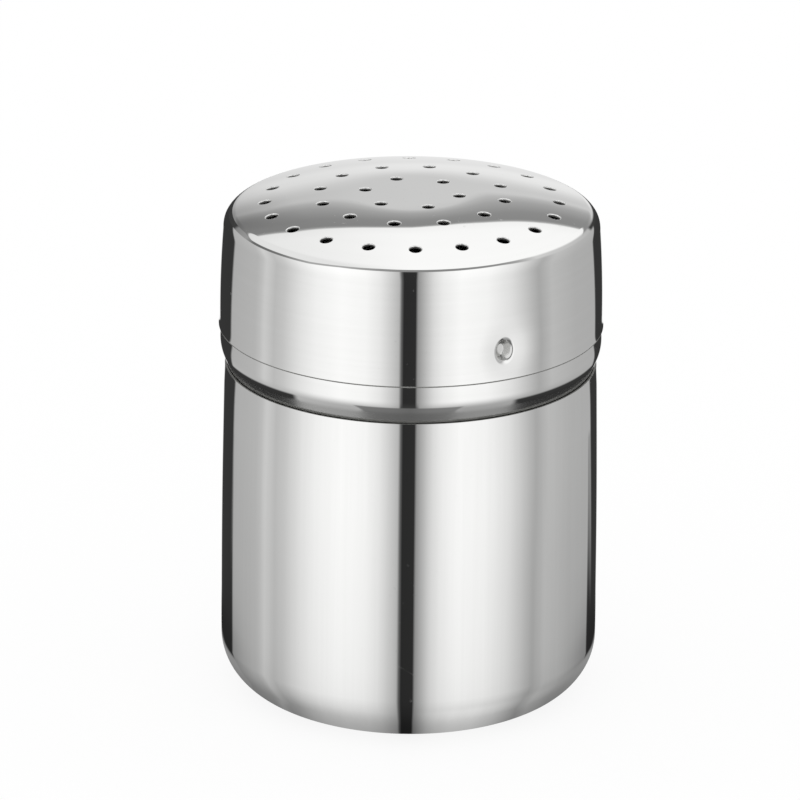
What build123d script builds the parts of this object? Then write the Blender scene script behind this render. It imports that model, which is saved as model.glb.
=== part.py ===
"""Spice shaker: a drawn steel container, a neck ring and a perforated bayonet lid.

Millimetres, +Z up. The container stands on Z = 0 with its axis on Z, and the front is
towards -Y. All three pieces are single sheets of stainless steel, pressed to shape.

The neck ring is fixed in the container's mouth. Its collar is inside the container's
cut edge, its bead carries the edge of the lid, and its neck has two L-shaped slots.
The lid has two lugs pressed inwards. They drop down the entry legs of the slots, and a
turn to the right moves them into the locking legs. The lid is modelled closed and not
yet turned: its lugs are at the foot of the entry legs, so that it lifts straight off.
"""

import os
from math import cos, radians, sin, sqrt

from build123d import *

# ---------------------------------------------------------------- all pieces
sheet = 0.5                    # thickness of the steel
body_radius = 35.1             # outside of the wall and the lid's skirt

# ---------------------------------------------------------------- container, outside
taper_start = 30.0             # height where the wall starts to lean in
rim = 63.2                     # height of the wall's cut edge
curl_drop = 4.2                # the wall curls in from this far below its edge
wall_lean = 0.68               # how far the wall has leaned in where the curl starts
curl = 0.22                    # and how much further in its edge is
curl_bend = 60.0
base_bend = 9.7                # between the wall and the base
base_ring = 3.4                # width of the flat ring that the base rests on
base_recess = 0.8              # how far the middle of the base is pressed up
recess_slope = 1.5             # width of the sloping edge of that recess
recess_bend = 1.2

# ---------------------------------------------------------------- neck ring, outside
collar_length = 6.0            # how far the ring reaches down into the container
flank_sink = 0.15              # the bead's lower flank starts this far below the rim
collar_bend = 0.5
bead_rise = 4.8                # from the rim to where the bead's two flanks would meet
bead_point = 0.47              # that point lies this far outside the container's wall
bead_bend = 7.0
neck_inset = 1.4               # the neck is this much smaller than the wall
neck_bend = 1.5
neck_length = 13.5             # from the lid's edge to the neck's upper end

# ---------------------------------------------------------------- lid, outside
lid_edge_rise = 2.5            # lid's free edge above the point of the bead
flare = 0.27                   # how far the free edge flares out
flare_height = 1.5
skirt_length = 21.1            # from the free edge to where skirt and dome would meet
skirt_lean = 0.9               # how far the skirt has leaned in up there
lid_corner_bend = 3.2
dome_rise = 3.85               # from there to the middle of the dome
crown_radius = 10.0            # the middle of the dome is nearly flat up to here
crown_bend = 1000.0

# ---------------------------------------------------------------- sprinkle holes
hole_diameter = 2.2
ring_inset = 7.4               # outer ring, from where skirt and dome would meet
ring_steps = (0.0, 9.7, 18.1)  # outer, middle and inner ring, from the outer one
ring_counts = (20, 12, 6)
ring_starts = (1.4, -10.6, -40.4)   # one hole of each ring, in degrees from the front

# ---------------------------------------------------------------- bayonet
lug_count = 2
lug_angle = 28.6               # first lug, in degrees from the front towards +X
lug_rise = 5.4                 # middle of a lug above the lid's edge
dimple_width = 3.4             # mouth of the dimple that forms a lug
dimple_height = 4.3
dimple_taper = 0.7             # the dimple narrows by this much on each side
lug_reach = 0.6                # how far a lug reaches past the inside of the neck
locking_turn = 25.0            # degrees from unlocked to locked
slot_bend = 1.0                # corners of the slots
entry_flare = 0.8              # the mouth of an entry leg is wider on each side

# ---------------------------------------------------------------- clearances
collar_clearance = 0.1         # between the ring's collar and the container's edge
seat_clearance = 0.25          # between the lid's edge and the bead's upper flank
slot_clearance = 0.4           # around a lug in its slot

# ---------------------------------------------------------------- sizes that follow
through = 4 * sheet            # a cut this deep passes right through the sheet
curl_start = rim - curl_drop
curl_radius = body_radius - wall_lean
rim_radius = curl_radius - curl
ring_inner = body_radius - base_bend - base_ring
collar_radius = rim_radius - sheet - collar_clearance
collar_foot = rim - collar_length
bead_radius = body_radius + bead_point
bead_height = rim + bead_rise
neck_radius = body_radius - neck_inset

lid_edge_radius = body_radius + flare
lid_edge = bead_height + lid_edge_rise
neck_top = lid_edge + neck_length
skirt_start = lid_edge + flare_height
lid_corner_radius = body_radius - skirt_lean
lid_corner = lid_edge + skirt_length
lid_height = lid_corner + dome_rise
crown_edge = lid_height - crown_bend + sqrt(crown_bend**2 - crown_radius**2)

# The bead's upper flank runs just inside the lid's edge and on to the neck.
seat_radius = lid_edge_radius - sheet - seat_clearance
flank_run = (bead_radius - neck_radius) / (bead_radius - seat_radius)
neck_foot = bead_height + flank_run * lid_edge_rise

lug_height = lid_edge + lug_rise
lug_tip_radius = neck_radius - sheet - lug_reach
dimple_floor = lug_tip_radius + sheet

# A lug's outline where it passes the outside of the neck sets the size of the slots.
lug_root_radius = body_radius - sheet / 2
lug_narrowing = dimple_taper * (lug_root_radius - neck_radius) / (lug_root_radius - lug_tip_radius)
slot_width = dimple_width + 2 * (sheet + slot_clearance - lug_narrowing)
slot_height = dimple_height + 2 * (sheet + slot_clearance - lug_narrowing)
slot_foot = lug_height - slot_height / 2
lug_angles = [lug_angle + 360 / lug_count * number for number in range(lug_count)]


def outward(angle, height=0.0):
    """A plane on the axis that faces outwards at an angle from the front."""
    turn = radians(angle)
    return Plane(
        origin=(0, 0, height),
        x_dir=(cos(turn), sin(turn), 0),
        z_dir=(sin(turn), -cos(turn), 0),
    )


def beside(angle):
    """An upright plane through the axis, with its x axis outwards at that angle."""
    turn = radians(angle)
    return Plane(
        origin=(0, 0, 0),
        x_dir=(sin(turn), -cos(turn), 0),
        z_dir=(-cos(turn), -sin(turn), 0),
    )


# ---------------------------------------------------------------- container
with BuildPart() as container:
    with BuildSketch(Plane.XZ):
        with BuildLine():
            outside = FilletPolyline(
                (0, base_recess),
                (ring_inner - recess_slope, base_recess),
                (ring_inner, 0),
                (body_radius, 0),
                (body_radius, taper_start),
                (curl_radius, curl_start),
                (rim_radius, rim),
                radius=[recess_bend, recess_bend, base_bend, 0, curl_bend],
            )
            Polyline(outside @ 1, (0, rim), (0, base_recess))
        make_face()
    revolve(axis=Axis.Z)
    mouth = container.faces().sort_by(Axis.Z)[-1]
    offset(amount=-sheet, openings=mouth)

container.part.label = "container"

# ---------------------------------------------------------------- neck ring
with BuildPart() as neck_ring:
    with BuildSketch(Plane.XZ):
        with BuildLine():
            ring_outside = FilletPolyline(
                (collar_radius, collar_foot),
                (collar_radius, rim - flank_sink),
                (bead_radius, bead_height),
                (neck_radius, neck_foot),
                (neck_radius, neck_top),
                radius=[collar_bend, bead_bend, neck_bend],
            )
            Polyline(ring_outside @ 1, (0, neck_top), (0, collar_foot), ring_outside @ 0)
        make_face()
    revolve(axis=Axis.Z)
    ends = neck_ring.faces().sort_by(Axis.Z)
    offset(amount=-sheet, openings=[ends[0], ends[-1]])

    for angle in lug_angles:
        # entry leg, open at the top of the neck
        leg_top = neck_top - slot_foot
        with BuildSketch(outward(angle, slot_foot)):
            with Locations((0, leg_top / 2 + slot_bend)):
                RectangleRounded(slot_width, leg_top + 2 * slot_bend, slot_bend)
            with BuildLine():
                Polyline(
                    (-slot_width / 2 - entry_flare, leg_top),
                    (slot_width / 2 + entry_flare, leg_top),
                    (slot_width / 2, leg_top - entry_flare),
                    (-slot_width / 2, leg_top - entry_flare),
                    close=True,
                )
            make_face()
        extrude(amount=body_radius, mode=Mode.SUBTRACT)

        # locking leg, and its closed end
        with BuildSketch(beside(angle)):
            with Locations((neck_radius, lug_height)):
                Rectangle(through, slot_height)
        revolve(axis=Axis.Z, revolution_arc=-locking_turn, mode=Mode.SUBTRACT)
        with BuildSketch(outward(angle - locking_turn, lug_height)):
            RectangleRounded(slot_width, slot_height, slot_bend)
        extrude(amount=body_radius, mode=Mode.SUBTRACT)

neck_ring.part.label = "neck_ring"

# ---------------------------------------------------------------- lid
with BuildPart() as lid:
    with BuildSketch(Plane.XZ) as half_lid:
        with BuildLine():
            crown = TangentArc((0, lid_height), (crown_radius, crown_edge), tangent=(1, 0))
            TangentArc(crown @ 1, (lid_corner_radius, lid_corner), tangent=crown % 1)
            TangentArc(
                (body_radius, skirt_start), (lid_corner_radius, lid_corner), tangent=(0, 1)
            )
            Polyline(
                (body_radius, skirt_start),
                (lid_edge_radius, lid_edge),
                (0, lid_edge),
                (0, lid_height),
            )
        make_face()
        corner = half_lid.vertices().sort_by_distance((lid_corner_radius, lid_corner))[0]
        fillet(corner, radius=lid_corner_bend)
    revolve(axis=Axis.Z)
    underside = lid.faces().sort_by(Axis.Z)[0]
    offset(amount=-sheet, openings=underside)

    for angle in lug_angles:
        # the lug inside the skirt
        with BuildSketch(outward(angle, lug_height).offset(lug_root_radius)):
            Ellipse(dimple_width / 2 + sheet, dimple_height / 2 + sheet)
        with BuildSketch(outward(angle, lug_height).offset(lug_tip_radius)):
            Ellipse(
                dimple_width / 2 + sheet - dimple_taper,
                dimple_height / 2 + sheet - dimple_taper,
            )
        loft()

    for angle in lug_angles:
        # the dimple outside
        with BuildSketch(outward(angle, lug_height).offset(body_radius + sheet)):
            Ellipse(dimple_width / 2, dimple_height / 2)
        with BuildSketch(outward(angle, lug_height).offset(dimple_floor)):
            Ellipse(dimple_width / 2 - dimple_taper, dimple_height / 2 - dimple_taper)
        loft(mode=Mode.SUBTRACT)

    with BuildSketch(Plane.XY.offset(lid_height + sheet)):
        for step, count, start in zip(ring_steps, ring_counts, ring_starts):
            ring_radius = lid_corner_radius - ring_inset - step
            with PolarLocations(ring_radius, count, start_angle=start - 90):
                Circle(hole_diameter / 2)
    extrude(amount=-(dome_rise + through), mode=Mode.SUBTRACT)

lid.part.label = "lid"

# ---------------------------------------------------------------- write the parts
os.makedirs("parts", exist_ok=True)
for piece in (container.part, neck_ring.part, lid.part):
    export_step(piece, f"parts/{piece.label}.step")
    size = piece.bounding_box().size
    print(f"{piece.label}: {size.X:.2f} x {size.Y:.2f} x {size.Z:.2f} mm, "
          f"{piece.volume / 1000:.2f} cm3, {len(piece.solids())} solid")
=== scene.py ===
# %% [markdown]
# # A polished steel shaker, surface by surface
#
# The real object is three pressings of stainless steel sheet: a round container, a beaded
# ring that is fixed in its mouth and ends in a neck, and a perforated lid that closes over
# that neck. All are polished like a mirror. A mirror has hardly any colour of its own, so
# two things make this picture: surfaces whose direction changes exactly as smoothly as the
# metal does, and a studio that is worth reflecting. The lesson builds the surfaces with
# numpy, then the finish, and last the studio.
#
# The CAD model gives the frame. Everything is in metres, with +Z up and the front
# towards -Y, and each new piece stands exactly where its CAD node is.

import bmesh
import bpy
import numpy as np
from mathutils import Matrix, Vector
from mathutils.geometry import delaunay_2d_cdt


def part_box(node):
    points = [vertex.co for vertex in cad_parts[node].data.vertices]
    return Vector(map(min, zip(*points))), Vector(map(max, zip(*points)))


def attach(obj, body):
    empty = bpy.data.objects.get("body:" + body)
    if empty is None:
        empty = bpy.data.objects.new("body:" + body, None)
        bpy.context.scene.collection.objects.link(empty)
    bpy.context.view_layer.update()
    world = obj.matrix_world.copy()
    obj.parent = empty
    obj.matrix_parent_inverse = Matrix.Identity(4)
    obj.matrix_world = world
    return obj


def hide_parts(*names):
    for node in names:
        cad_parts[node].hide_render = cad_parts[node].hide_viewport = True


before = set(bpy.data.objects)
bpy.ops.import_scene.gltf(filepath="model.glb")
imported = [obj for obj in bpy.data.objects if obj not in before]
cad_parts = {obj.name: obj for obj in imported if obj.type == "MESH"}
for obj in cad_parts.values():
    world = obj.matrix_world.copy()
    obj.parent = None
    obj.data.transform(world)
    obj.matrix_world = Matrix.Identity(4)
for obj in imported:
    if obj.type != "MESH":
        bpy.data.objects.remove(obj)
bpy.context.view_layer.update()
scene = bpy.context.scene
for node in ("container", "neck_ring", "lid"):
    low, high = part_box(node)
    print(f"{node} reaches from {low.z * 1000:.2f} to {high.z * 1000:.2f} mm")

# %% [markdown]
# ## The camera first
#
# Small tableware is usually photographed with a long lens from a little above, so that
# its sides stay nearly upright. We could aim the camera with a constraint, but a plain
# matrix says the same in one line and leaves nothing live in the file: turn about the
# camera's own axis, tilt, and turn about the upright axis.

# %% Camera
camera_place = Vector((0.0, -0.8404, 0.3670))
tilt_down, turn_left, roll = np.radians([20.36, 0.13, 0.48])

camera_data = bpy.data.cameras.new("camera")
camera_data.sensor_width = 36.0
camera_data.lens = 218.3
camera = bpy.data.objects.new("camera", camera_data)
scene.collection.objects.link(camera)
camera.matrix_world = (
    Matrix.Translation(camera_place)
    @ Matrix.Rotation(turn_left, 4, "Z")
    @ Matrix.Rotation(np.pi / 2 - tilt_down, 4, "X")
    @ Matrix.Rotation(roll, 4, "Z")
)
scene.camera = camera
print("camera is", round(camera_place.length, 3), "m from the origin")

# %% [markdown]
# ## A profile that never has a kink
#
# All three pressings are round, so each is a profile turned about the axis. On a mirror even
# a tiny kink in the profile shows as a broken reflection. So a profile here is a chain of
# straight runs and arcs in which every run starts in the direction where the one before
# it ended. A curve object with Bezier handles could do this too, but arcs keep the exact
# bend radii of the press tools, and their places and directions follow from a formula.

# %% Profiles made of runs and arcs
def new_path(place, heading):
    """A path with no runs yet: a first place (across, up) and a first heading in radians."""
    return {"place": np.array(place, float), "heading": heading, "runs": []}


def add_run(path, length, turn=0.0):
    """Adds an arc of a given length that turns the heading by `turn`; with no turn it is
    straight. Its chord is length x sinc(turn / 2), at the heading plus half the turn."""
    path["runs"].append((*path["place"], path["heading"], turn / length, length))
    chord = length * np.sinc(turn / 2 / np.pi)
    middle = path["heading"] + turn / 2
    path["place"] = path["place"] + chord * np.array([np.cos(middle), np.sin(middle)])
    path["heading"] += turn


def add_arc_to(path, end):
    """Adds the one arc that leaves smoothly and reaches a place. The chord makes half the
    arc's turn with the heading, so turn = 2 (chord's direction - heading)."""
    chord = np.subtract(end, path["place"])
    turn = 2 * (np.arctan2(chord[1], chord[0]) - path["heading"])
    turn = (turn + 2 * np.pi) % (4 * np.pi) - 2 * np.pi
    add_run(path, np.hypot(*chord) / np.sinc(turn / 2 / np.pi), turn)


def add_bends(path, corners, bends):
    """Adds straight runs from corner to corner with an arc at each corner but the last.
    An arc of radius R that turns by T starts R x tan(T / 2) before its corner."""
    corners = np.array(corners, float)
    steps = np.diff(np.vstack([path["place"], corners]), axis=0)
    headings = np.arctan2(steps[:, 1], steps[:, 0])
    turns = (np.diff(headings) + np.pi) % (2 * np.pi) - np.pi
    cuts = np.append(np.array(bends) * np.tan(np.abs(turns) / 2), 0.0)
    path["heading"] = headings[0]
    for step, cut_before, cut, turn, bend in zip(
        steps, np.append(0.0, cuts), cuts, np.append(turns, 0.0), np.append(bends, 0.0)
    ):
        add_run(path, np.hypot(*step) - cut_before - cut)
        if bend:
            add_run(path, bend * abs(turn), turn)


def along(path, distance):
    """Across, up and heading at some distances along a path. Each distance falls in one
    run, and inside it the chord formula of add_run gives the place."""
    runs = np.array(path["runs"])
    starts = np.append(0.0, np.cumsum(runs[:, 4])[:-1])
    which = np.clip(np.searchsorted(starts, distance, side="right") - 1, 0, len(runs) - 1)
    across, up, heading, bend, _ = np.moveaxis(runs[which], -1, 0)
    part = distance - starts[which]
    chord = part * np.sinc(bend * part / 2 / np.pi)
    middle = heading + bend * part / 2
    return across + chord * np.cos(middle), up + chord * np.sin(middle), heading + bend * part


def path_length(path):
    """The lengths of all runs, added up."""
    return sum(run[4] for run in path["runs"])


quarter = new_path((0, 0), 0.0)
add_run(quarter, np.pi / 2, np.pi / 2)
print("a quarter turn of radius 1 ends at", quarter["place"].round(4), path_length(quarter))

# %% [markdown]
# ## The lid's profile
#
# The sizes are in millimetres, as a drawing for the press tools would give them. The path
# runs from the middle of the dome out and down to the free edge, so the outside of the
# steel is on its left. Dome, corner and skirt are three arcs that touch one another. A
# fillet tool would find the corner's centre; here it is the corner of a triangle.

# %% Profile of the lid
MM = 0.001
sheet = 0.5
body_radius = 35.1
edge_roll = 0.24

lid_edge = (35.37, 70.5)
skirt_foot = (35.1, 72.0)
lid_corner = (34.2, 91.6)
lid_top = 95.45
crown_bend, crown_radius = 1000.0, 10.0
corner_bend = 3.2


def circle_of(path):
    """Centre and radius of the arc that a path ends with. The centre of an arc that bends
    to the right lies to the right of its heading, one radius away."""
    bend = path["runs"][-1][3]
    heading = path["heading"]
    side = np.array([-np.sin(heading), np.cos(heading)])
    return path["place"] + side / bend, 1 / abs(bend)


# The two arcs that the corner joins, each drawn up to the corner's own place.
crown_turn = np.arcsin(crown_radius / crown_bend)
dome = new_path((0, lid_top), 0.0)
add_run(dome, crown_bend * crown_turn, -crown_turn)
add_arc_to(dome, lid_corner)
skirt = new_path(skirt_foot, np.pi / 2)
add_arc_to(skirt, lid_corner)
(dome_centre, dome_bend), (skirt_centre, skirt_bend) = circle_of(dome), circle_of(skirt)

# The corner's arc touches both from inside, so its centre is a known distance from each
# centre: the corner of a triangle whose three sides are known.
reach, across = dome_bend - corner_bend, skirt_bend - corner_bend
between = skirt_centre - dome_centre
gap = np.hypot(*between)
foot = (reach**2 - across**2 + gap**2) / (2 * gap)
side = np.array([-between[1], between[0]]) / gap
apex = np.sqrt(reach**2 - foot**2)
corner_centre = max(
    (dome_centre + between / gap * foot + side * apex * sign for sign in (-1, 1)), key=lambda c: c[1]
)
leave_dome = np.arctan2(*(corner_centre - dome_centre)[::-1]) - np.pi / 2
meet_skirt = np.arctan2(*(corner_centre - skirt_centre)[::-1]) - np.pi / 2

lid_path = new_path((0, lid_top), 0.0)
add_run(lid_path, crown_bend * crown_turn, -crown_turn)
add_run(lid_path, dome_bend * (-crown_turn - leave_dome), leave_dome + crown_turn)
corner_start = path_length(lid_path)
add_run(lid_path, corner_bend * (leave_dome - meet_skirt), meet_skirt - leave_dome)
corner_end = path_length(lid_path)
add_run(lid_path, skirt_bend * (meet_skirt + np.pi / 2), -np.pi / 2 - meet_skirt)
flare_start = path_length(lid_path)
print("skirt's foot lands at", lid_path["place"].round(3), "wanted", skirt_foot)
add_arc_to(lid_path, lid_edge)
print("dome bends at", round(dome_bend, 1), "mm, skirt at", round(skirt_bend, 1), "mm")
print("lid's profile is", round(path_length(lid_path), 2), "mm long")

# %% [markdown]
# ## The profiles of the container and its ring
#
# The container's path runs from its cut edge down to the middle of the base. The wall
# leans in by under a millimetre towards the top. Drawn as two straight runs it would break
# every reflection halfway up, so its bend gets a radius of 1.6 m, which nobody can see.
#
# The ring's path runs from the top of the neck, over the bead that carries the lid's edge,
# down to the collar inside the container.

# %% Profiles of the container and the ring
container_path = new_path((34.2, 63.2), 0.0)
add_bends(
    container_path,
    [(34.42, 59.0), (body_radius, 30.0), (body_radius, 0.0), (22.0, 0.0), (20.5, 0.8), (0.0, 0.8)],
    [60.0, 1600.0, 9.7, 1.2, 1.2],
)
neck_top, neck_radius = 84.0, 33.7
ring_path = new_path((neck_radius, neck_top), 0.0)
add_bends(
    ring_path,
    [(neck_radius, 72.92), (35.57, 68.0), (33.6, 63.05), (33.6, 57.2)],
    [1.5, 7.0, 0.5],
)
print("container's profile is", round(path_length(container_path), 2), "mm long")
print("ring's profile is", round(path_length(ring_path), 2), "mm long")

# %% [markdown]
# ## From a flat layout to a sheet of steel
#
# A pressing is one sheet, bent. So we lay it out flat first: every point has a distance
# along the profile and a turn about the axis, and the faces are drawn in that flat map.
# The map is then used twice, once for the outside and once, half a millimetre further
# in, for the inside. Along every free edge and hole, a narrow rolled lip joins the two.
# Blender's Solidify modifier does something like it, but it moves points along averaged
# face normals. Here the exact direction of the surface is known from the formula, and it
# is also handed to Blender as the shading normal, so reflections run without a ripple.

# %% Surface and its normal
def on_skin(path, press, distance, turn):
    """Places and outward normals on the outside of a pressing. Turning a profile place
    (across, up) about the axis gives (across sin t, -across cos t, up). Where a press
    tool pushed the sheet in by a depth D, the place moves back by D, and the normal tips
    by D's slope along the profile and round the axis."""
    across, up, heading = along(path, distance)
    sine, cosine, flat = np.sin(turn), np.cos(turn), np.zeros_like(turn)
    ahead = np.stack([np.cos(heading) * sine, -np.cos(heading) * cosine, np.sin(heading)], -1)
    round_axis = np.stack([cosine, sine, flat], -1)
    normal = np.stack([-np.sin(heading) * sine, np.sin(heading) * cosine, np.cos(heading)], -1)
    place = np.stack([across * sine, -across * cosine, up], -1)
    depth = press(distance, turn)
    small = 1e-4
    slope_ahead = (press(distance + small, turn) - press(distance - small, turn)) / (2 * small)
    slope_round = (press(distance, turn + small) - press(distance, turn - small)) / (2 * small)
    slope_round = slope_round / np.maximum(across - depth, 1.0)
    place = place - depth[..., None] * normal
    normal = normal + slope_ahead[..., None] * ahead + slope_round[..., None] * round_axis
    return place, normal / np.linalg.norm(normal, axis=-1, keepdims=True)


def unpressed(distance, turn):
    """A plain round pressing, pushed in nowhere."""
    return np.zeros(np.broadcast(distance, turn).shape)


def distance_at(path, value, which, low, high):
    """The distances at which a path has given values across (0) or up (1), between two
    distances: read backwards from a fine table, then corrected by one Newton step."""
    table = np.linspace(low, high, 4000)
    found = along(path, table)[which]
    order = np.argsort(found)
    guess = np.interp(value, found[order], table[order])
    state = along(path, guess)
    speed = np.cos(state[2]) if which == 0 else np.sin(state[2])
    return guess + (value - state[which]) / speed


reached = distance_at(lid_path, np.array([26.8]), 0, 0, corner_start)
print("dome reaches 26.8 mm at", reached.round(3), "mm along")


# %% Faces of a grid, and the layout they are collected in
def grid_faces(rows, columns, closed=True):
    """Corner numbers of the faces of a grid whose points are numbered row by row. A face
    takes (row, column), the next row, its next column, and the next column."""
    numbers = np.arange(rows * columns).reshape(rows, columns)
    right = np.roll(numbers, -1, axis=1)
    if not closed:
        numbers, right = numbers[:, :-1], right[:, :-1]
    return np.stack([numbers[:-1], numbers[1:], right[1:], right[:-1]], -1).reshape(-1, 4)


def new_layout():
    """An empty flat map: patches of (distance, turn) points with their faces, and the
    free edges. An edge is a loop of points, its lip as (reach, outer depth, inner depth),
    and the finish of the lip's outer half."""
    return {"points": [], "faces": [], "loops": [], "count": 0}


def add_patch(layout, distance, turn, closed=True):
    """Adds a grid of points [rows, columns] to the flat map."""
    points = np.stack(np.broadcast_arrays(distance, turn), -1)
    rows, columns = points.shape[:2]
    layout["faces"].append(grid_faces(rows, columns, closed) + layout["count"])
    layout["points"].append(points.reshape(-1, 2))
    layout["count"] += rows * columns


print("a 3 x 4 closed grid has", len(grid_faces(3, 4)), "faces")


# %% [markdown]
# ## Edges of sheet metal
#
# A cut edge is never a knife edge. The press rounds its outer corner a little, and the cut itself is rough
# beside the polished faces. Its dark grey colour is partly painted shade: it also stands for the shade in
# the narrow gap between the lid's edge and the bead. A Bevel modifier could round it, but a lip that is
# worked out from the edge keeps the exact thickness of the sheet.

# %% Rolled lip along a free edge
def lip(place, normal, roll, steps=4):
    """Rows of places and normals that lead from the outside of the sheet round a free
    edge to the inside, over two quarters of ovals. `roll` gives how far they reach out of
    the sheet, and how deep the outer and the inner quarter are. The row at angle a, from 0
    to 180 degrees, is pushed out by out x sin(a). Its depth is outer x (1 - cos a) in the
    first quarter, and inner x (1 + cos a) short of the sheet's thickness in the second. An
    oval's normal is its depth x sin(a) outwards and its reach x cos(a) upwards. The loop
    has the sheet on its right, seen from outside: the way out is normal x loop direction."""
    reach, outer, inner = roll
    along_loop = np.roll(place, -1, axis=0) - np.roll(place, 1, axis=0)
    out = np.cross(normal, along_loop)
    out /= np.linalg.norm(out, axis=-1, keepdims=True)
    quarter = np.linspace(0, np.pi / 2, steps + 1)
    angle = np.concatenate([quarter, quarter + np.pi / 2])[:, None, None]
    depth = outer * (1 - np.cos(angle))
    depth[steps + 1 :] = sheet - inner * (1 + np.cos(angle[steps + 1 :]))
    oval = np.full_like(angle, outer)
    oval[steps + 1 :] = inner
    lip_normal = reach * np.cos(angle) * normal + oval * np.sin(angle) * out
    lip_normal /= np.linalg.norm(lip_normal, axis=-1, keepdims=True)
    return place - depth * normal + reach * np.sin(angle) * out, lip_normal


corner = np.radians([0.0, 90.0, 180.0, 270.0])
square = np.stack([np.cos(corner), np.sin(corner), 0 * corner], -1)
print("a lip has", len(lip(square, np.tile([0.0, 0, 1], (4, 1)), (0.2, 0.2, 0.2))[0]), "rows")

# %% [markdown]
# ## One closed mesh for each pressing
#
# Outside, inside and lips share their edge places, so merging points within a fifth of a
# micron closes the shell. Two counts show that it worked: the edges that don't join
# two faces, which must be none, and the volume of steel, which the CAD model also gives.
#
# Each face gets one of four finishes, in the order in which a piece lists its materials.

# %% A pressing from its layout
OUTSIDE, INSIDE, CUT_AND_GAP_SHADE, BURNISHED = range(4)


def merge(mesh):
    """Joins points that lie on each other, within a fifth of a micron, and removes points
    that no face uses. Returns how many edges don't join two faces that face the same way."""
    work = bmesh.new()
    work.from_mesh(mesh)
    bmesh.ops.remove_doubles(work, verts=work.verts, dist=2e-7)
    bmesh.ops.delete(work, geom=[v for v in work.verts if not v.link_faces], context="VERTS")
    open_edges = sum(not edge.is_contiguous for edge in work.edges)
    work.to_mesh(mesh)
    work.free()
    return open_edges


def volume_of(mesh):
    """The volume a mesh encloses: over its triangles, the sum of a . (b x c) / 6."""
    mesh.calc_loop_triangles()
    corners = np.empty(len(mesh.loop_triangles) * 3, np.int32)
    mesh.loop_triangles.foreach_get("vertices", corners)
    places = np.empty(len(mesh.vertices) * 3, np.float32)
    mesh.vertices.foreach_get("co", places)
    a, b, c = places.astype(float).reshape(-1, 3)[corners.reshape(-1, 3)].transpose(1, 0, 2)
    return np.sum(a * np.cross(b, c)) / 6


def show(name, mesh):
    """A new object at the origin that shows a mesh."""
    piece = bpy.data.objects.new(name, mesh)
    scene.collection.objects.link(piece)
    return piece


def pressing(name, path, press, layout, materials):
    """One closed mesh: the layout on the outside, the layout again one sheet's thickness
    further in with its faces turned over, and a lip along each loop."""
    points = np.concatenate(layout["points"])
    outside, normals = on_skin(path, press, points[:, 0], points[:, 1])
    faces = list(layout["faces"])
    places, directions = [outside, outside - sheet * normals], [normals, -normals]
    count = len(outside)
    inner_faces = [block[:, ::-1] + count for block in faces]
    kinds = [OUTSIDE] * sum(map(len, faces)) + [INSIDE] * sum(map(len, inner_faces))
    faces = faces + inner_faces
    total = 2 * count
    for loop, roll, outer_finish in layout["loops"]:
        edge, edge_normal = on_skin(path, press, loop[:, 0], loop[:, 1])
        rows, row_normals = lip(edge, edge_normal, roll)
        block = grid_faces(*rows.shape[:2])[:, ::-1] + total
        places.append(rows.reshape(-1, 3))
        directions.append(row_normals.reshape(-1, 3))
        faces.append(block)
        outer_faces = (len(rows) // 2 - 1) * len(loop)
        kinds += [outer_finish] * outer_faces + [CUT_AND_GAP_SHADE] * (len(block) - outer_faces)
        total += rows[..., 0].size

    mesh = bpy.data.meshes.new(name)
    mesh.from_pydata(
        (np.concatenate(places) * MM).tolist(), [], [face for block in faces for face in block.tolist()]
    )
    kept = mesh.attributes.new("direction", "FLOAT_VECTOR", "POINT")
    kept.data.foreach_set("vector", np.concatenate(directions).astype(np.float32).ravel())
    mesh.polygons.foreach_set("material_index", kinds)
    open_edges = merge(mesh)
    mesh.polygons.foreach_set("use_smooth", [True] * len(mesh.polygons))
    directions = np.empty(len(mesh.vertices) * 3, np.float32)
    mesh.attributes["direction"].data.foreach_get("vector", directions)
    mesh.attributes.remove(mesh.attributes["direction"])
    mesh.normals_split_custom_set_from_vertices(directions.reshape(-1, 3))
    for material in materials:
        mesh.materials.append(material)
    print(
        f"{name}: {volume_of(mesh) * 1e6:.2f} cm3 of steel, {open_edges} bad edges, "
        f"{len(mesh.loop_triangles)} triangles"
    )
    return show(name, mesh)


print("pressing() turns a flat layout into steel of", sheet, "mm")

# %% [markdown]
# ## The finish
#
# Polished stainless steel is a metal with a faint warm grey, and nearly a perfect mirror.
# What tells it from chrome plating is what the tools left behind: drawing through the die
# leaves upright streaks on the container, and the polishing wheel leaves lines round the
# lid. Both are noise stretched a hundredfold in one direction. It moves the roughness by
# hundredths and tips the surface by tenths of a degree, which is plenty on a mirror.
#
# All patterns read Object coordinates, which are metres on the finished piece.

# %% Node helpers
def put(tree, value, socket):
    """Gives a socket a number, a colour or another node's output."""
    if isinstance(value, bpy.types.NodeSocket):
        tree.links.new(value, socket)
    else:
        socket.default_value = value


def maths(tree, operation, *values):
    """A Math node on numbers or other nodes' outputs. Returns its output."""
    node = tree.nodes.new("ShaderNodeMath")
    node.operation = operation
    for socket, value in zip(node.inputs, values):
        put(tree, value, socket)
    return node.outputs[0]


def times(tree, first, second):
    """The product of two numbers or outputs."""
    return maths(tree, "MULTIPLY", first, second)


def rise(tree, value, start, end, low=0.0, high=1.0):
    """Low before the start, high after the end, and a smooth step between."""
    node = tree.nodes.new("ShaderNodeMapRange")
    node.interpolation_type = "SMOOTHSTEP"
    for socket, number in zip(node.inputs, (value, start, end, low, high)):
        put(tree, number, socket)
    return node.outputs[0]


def mix(tree, weight, first, second, blend="MIX"):
    """The first colour where the weight is 0, the second, or their blend, where it is 1."""
    node = tree.nodes.new("ShaderNodeMix")
    node.data_type, node.blend_type = "RGBA", blend
    for number, value in ((0, weight), (6, first), (7, second)):
        put(tree, value, node.inputs[number])
    return node.outputs[2]


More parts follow.
